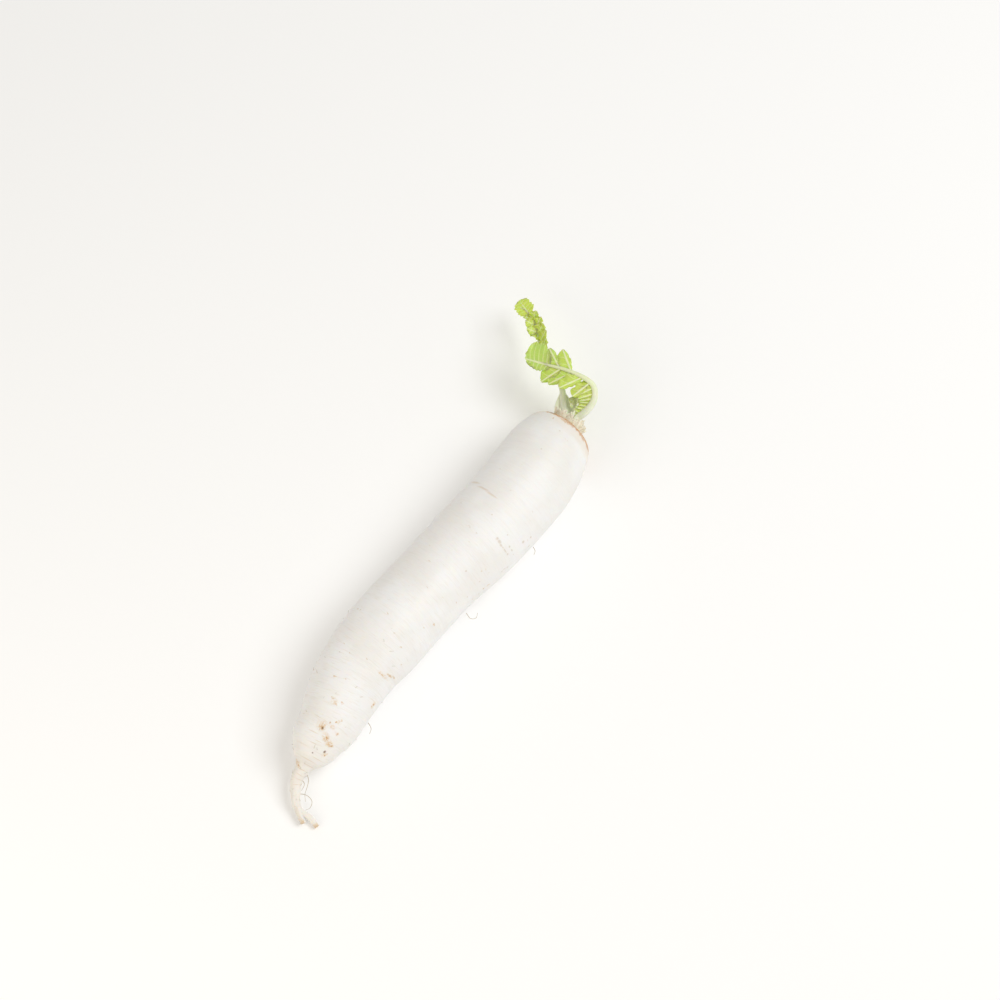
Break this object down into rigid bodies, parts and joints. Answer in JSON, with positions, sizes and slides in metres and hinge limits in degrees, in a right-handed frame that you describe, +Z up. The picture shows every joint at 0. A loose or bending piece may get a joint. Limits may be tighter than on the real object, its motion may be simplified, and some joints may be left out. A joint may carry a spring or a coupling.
{
  "type": "daikon radish",
  "caption": "Long white daikon radish as picked, with a dry straw collar, small pale green leaves and a forked taproot, lying on its side.",
  "frame": {"origin": "centre of the flat resting spot on the root's belly, below the middle of the root", "axes": "+X along the root from the tail to the crown and leaves, +Y across it, +Z up from the surface that it lies on"},
  "size_m": [0.401, 0.1195, 0.0619],
  "materials": {
    "root_skin": "creamy white root skin, smooth with fine rings, tan scuffs and a soft sheen",
    "dry_collar": "dry, fibrous, straw-coloured old leaf bases",
    "leaf_green": "young yellow-green leaf with pale stalk and ribs, matt and slightly see-through"
  },
  "bodies": {
    "root": {"root": "root_skin", "crown_collar": "dry_collar", "leaf_curled": "leaf_green", "leaf_long": "leaf_green", "leaf_inner": "leaf_green"}
  },
  "joints": []
}
